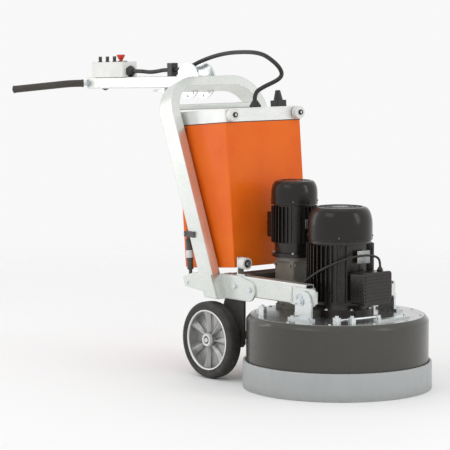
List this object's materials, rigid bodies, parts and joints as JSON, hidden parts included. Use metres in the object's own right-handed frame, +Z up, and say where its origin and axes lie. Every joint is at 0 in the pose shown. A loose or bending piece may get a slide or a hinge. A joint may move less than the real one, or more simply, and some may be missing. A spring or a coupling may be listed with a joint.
{
  "type": "concrete floor grinder",
  "caption": "Walk-behind planetary concrete grinder: round floating head with driven discs, leaning hoop frame, electric cabinet, wheels and a folding control handle.",
  "frame": {"origin": "on the floor, under the middle of the machine's box", "axes": "+X forward to the grinding head, +Y to the machine's left, +Z up"},
  "size_m": [2.1878, 0.73, 1.2881],
  "materials": {
    "frame_paint": "satin",
    "zinc": "satin",
    "dark_steel": "satin",
    "cabinet_orange": "semi-gloss",
    "aluminium": "satin",
    "steel": "machined",
    "polished": "polished",
    "cover_paint": "satin",
    "motor_black": "painted",
    "cowl_grey": "satin",
    "gearbox_paint": "painted",
    "tyre": "matt",
    "nylon": "smooth",
    "grip": "matt",
    "cable": "matt",
    "skirt": "matt",
    "box_plastic": "smooth",
    "black_plastic": "smooth",
    "stop_red": "smooth",
    "electrical": "moulded"
  },
  "bodies": {
    "chassis": {"frame_hoop": "frame_paint", "side_beam_left": "frame_paint", "side_beam_right": "frame_paint", "cross_members": "dark_steel", "beam_plates": "frame_paint", "rear_gussets": "frame_paint", "axle_set": "dark_steel", "chassis_bolts": "zinc", "brace_rods": "dark_steel", "roller_posts": "zinc", "cabinet_shell": "cabinet_orange", "cabinet_band": "aluminium", "switchgear": "electrical", "cabinet_glands": "black_plastic", "quadrant_discs": "zinc", "control_cable_loop": "cable"},
    "door": {"cabinet_door": "cabinet_orange"},
    "door_latch": {"door_latch": "zinc"},
    "handle": {"handle_tube": "frame_paint", "handlebar": "zinc", "grips": "grip", "control_box": "box_plastic", "control_box_lid": "box_plastic", "cable_fittings": "black_plastic", "handle_cable": "cable"},
    "lock_bar": {"lock_bar": "zinc"},
    "stop_button": {"stop_button": "stop_red"},
    "head": {"top_plate": "polished", "head_cover": "cover_paint", "base_plate": "steel", "head_brackets": "zinc", "main_motor": "motor_black", "main_motor_cowl": "cowl_grey", "main_terminal_box": "motor_black", "small_motor": "motor_black", "small_motor_cowl": "cowl_grey", "gearbox": "gearbox_paint", "tie_linkage": "zinc", "motor_cable": "cable"},
    "skirt": {"dust_skirt": "skirt"},
    "main_rotor": {"main_rotor": "steel"},
    "small_rotor": {"small_rotor": "steel"},
    "drive_pulley": {"drive_pulley": "steel"},
    "carrier": {"planet_carrier": "aluminium"},
    "selector_knob_left": {"selector_knob_left": "black_plastic"},
    "selector_knob_middle": {"selector_knob_middle": "black_plastic"},
    "selector_knob_right": {"selector_knob_right": "black_plastic"},
    "low_roller_left": {"low_roller_left": "nylon"},
    "top_roller_left": {"top_roller_left": "nylon"},
    "brace_sleeve_left": {"brace_sleeve_left": "dark_steel"},
    "wheel_left": {"wheel_tyre_left": "tyre", "wheel_rim_left": "aluminium"},
    "low_roller_right": {"low_roller_right": "nylon"},
    "top_roller_right": {"top_roller_right": "nylon"},
    "brace_sleeve_right": {"brace_sleeve_right": "dark_steel"},
    "wheel_right": {"wheel_tyre_right": "tyre", "wheel_rim_right": "aluminium"},
    "satellite_1": {"satellite_1": "steel"},
    "satellite_2": {"satellite_2": "steel"},
    "satellite_3": {"satellite_3": "steel"}
  },
  "joints": [
    {"name": "handle_pivot", "type": "hinge", "parent": "chassis", "child": "handle", "pos_m": [-0.12812, 0, 1.156], "axis": [0, 1, 0], "range_deg": [-15, 60], "deforming": ["control_cable_loop"]},
    {"name": "door_hinge", "type": "hinge", "parent": "chassis", "child": "door", "pos_m": [0.01634, 0.1955, 0.69807], "axis": [0.0882, 0, -0.9961], "range_deg": [0, 90]},
    {"name": "latch_turn", "type": "hinge", "parent": "door", "child": "door_latch", "pos_m": [0.01634, -0.1645, 0.69807], "axis": [0.9961, 0, 0.0882], "range_deg": [0, 90]},
    {"name": "lock_slide", "type": "slide", "parent": "handle", "child": "lock_bar", "axis": [0.9994, 0, 0.034], "range_m": [0, 0.0115]},
    {"name": "knob_left_turn", "type": "hinge", "parent": "handle", "child": "selector_knob_left", "pos_m": [-0.76998, -0.01, 1.2292], "axis": [-0.034, 0, 0.9994], "range_deg": [0, 270]},
    {"name": "knob_middle_turn", "type": "hinge", "parent": "handle", "child": "selector_knob_middle", "pos_m": [-0.71901, -0.01, 1.23094], "axis": [-0.034, 0, 0.9994], "range_deg": [-45, 45]},
    {"name": "knob_right_turn", "type": "hinge", "parent": "handle", "child": "selector_knob_right", "pos_m": [-0.66904, -0.01, 1.23264], "axis": [-0.034, 0, 0.9994], "range_deg": [-45, 45]},
    {"name": "stop_press", "type": "slide", "parent": "handle", "child": "stop_button", "axis": [0.034, 0, -0.9994], "range_m": [0, 0.008], "stiffness_N_per_m": 900, "springref_m": -0.003},
    {"name": "low_roller_left_spin", "type": "hinge", "parent": "chassis", "child": "low_roller_left", "pos_m": [0.39488, 0.185, 0.461], "axis": [1, 0, 0], "continuous": true},
    {"name": "top_roller_left_spin", "type": "hinge", "parent": "chassis", "child": "top_roller_left", "pos_m": [0.30857, 0.172, 1.03717], "axis": [0.9961, 0, 0.0882], "continuous": true},
    {"name": "wheel_left_spin", "type": "hinge", "parent": "chassis", "child": "wheel_left", "pos_m": [0.26788, 0.247, 0.152], "axis": [0, 1, 0], "continuous": true},
    {"name": "brace_sleeve_left_turn", "type": "hinge", "parent": "chassis", "child": "brace_sleeve_left", "pos_m": [0.12088, 0.238, 0.4635], "axis": [-0.0929, 0, 0.9957], "continuous": true},
    {"name": "low_roller_right_spin", "type": "hinge", "parent": "chassis", "child": "low_roller_right", "pos_m": [0.39488, -0.185, 0.461], "axis": [1, 0, 0], "continuous": true},
    {"name": "top_roller_right_spin", "type": "hinge", "parent": "chassis", "child": "top_roller_right", "pos_m": [0.30857, -0.172, 1.03717], "axis": [0.9961, 0, 0.0882], "continuous": true},
    {"name": "wheel_right_spin", "type": "hinge", "parent": "chassis", "child": "wheel_right", "pos_m": [0.26788, -0.247, 0.152], "axis": [0, 1, 0], "continuous": true},
    {"name": "brace_sleeve_right_turn", "type": "hinge", "parent": "chassis", "child": "brace_sleeve_right", "pos_m": [0.12088, -0.238, 0.4635], "axis": [-0.0929, 0, 0.9957], "continuous": true},
    {"name": "head_float", "type": "hinge", "parent": "chassis", "child": "head", "pos_m": [0.76688, 0, 0.352], "axis": [0, 1, 0], "range_deg": [-2.5, 2.5]},
    {"name": "skirt_slide", "type": "slide", "parent": "head", "child": "skirt", "axis": [0, 0, 1], "range_m": [0, 0.02]},
    {"name": "main_rotor_spin", "type": "hinge", "parent": "head", "child": "main_rotor", "pos_m": [0.74288, 0, 0.45], "axis": [0, 0, 1], "continuous": true},
    {"name": "small_rotor_spin", "type": "hinge", "parent": "head", "child": "small_rotor", "pos_m": [0.47888, 0, 0.6], "axis": [0, 0, 1], "continuous": true},
    {"name": "drive_pulley_spin", "type": "hinge", "parent": "head", "child": "drive_pulley", "pos_m": [0.47888, 0, 0.25], "axis": [0, 0, 1], "continuous": true},
    {"name": "carrier_spin", "type": "hinge", "parent": "head", "child": "carrier", "pos_m": [0.74288, 0, 0.075], "axis": [0, 0, 1], "continuous": true},
    {"name": "satellite_1_spin", "type": "hinge", "parent": "carrier", "child": "satellite_1", "pos_m": [0.94788, 0, 0.05], "axis": [0, 0, 1], "continuous": true},
    {"name": "satellite_2_spin", "type": "hinge", "parent": "carrier", "child": "satellite_2", "pos_m": [0.64038, 0.17754, 0.05], "axis": [0, 0, 1], "continuous": true},
    {"name": "satellite_3_spin", "type": "hinge", "parent": "carrier", "child": "satellite_3", "pos_m": [0.64038, -0.17754, 0.05], "axis": [0, 0, 1], "continuous": true}
  ],
  "couplings": [
    {"joint": "drive_pulley_spin", "follows": "small_rotor_spin", "ratio": 0.1},
    {"joint": "carrier_spin", "follows": "small_rotor_spin", "ratio": 0.032143},
    {"joint": "satellite_1_spin", "follows": "main_rotor_spin", "ratio": 1},
    {"joint": "satellite_2_spin", "follows": "main_rotor_spin", "ratio": 1},
    {"joint": "satellite_3_spin", "follows": "main_rotor_spin", "ratio": 1}
  ]
}
